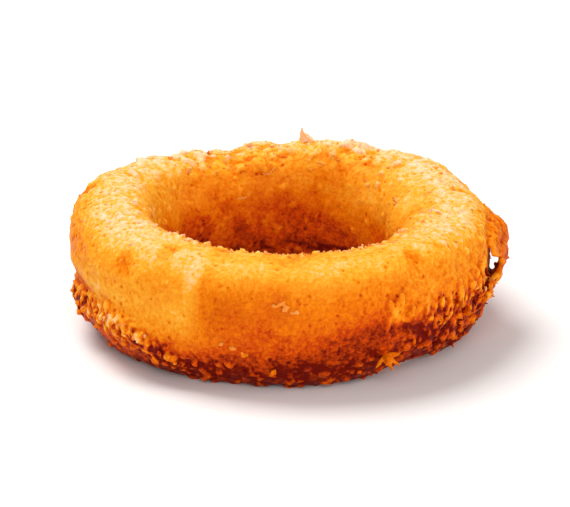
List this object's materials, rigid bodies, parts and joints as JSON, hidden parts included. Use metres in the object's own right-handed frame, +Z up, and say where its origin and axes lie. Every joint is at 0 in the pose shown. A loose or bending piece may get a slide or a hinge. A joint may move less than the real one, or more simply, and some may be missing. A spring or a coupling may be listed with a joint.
{
  "type": "onion ring",
  "caption": "Thick battered and deep-fried onion ring, a tall rounded band with an open middle, lying flat; served hot as a side or snack.",
  "frame": {"origin": "middle of the footprint, on the surface that the ring lies on", "axes": "+Z up through the ring's open middle, -Y towards the ring's front, +X to its right"},
  "size_m": [0.0786, 0.0764, 0.0267],
  "materials": {
    "crust": "deep-fried batter crust, golden orange, fine bubbly grain with browner crumbs along the lower edge, slightly oily"
  },
  "bodies": {
    "root": {"onion_ring": "crust"}
  },
  "joints": []
}
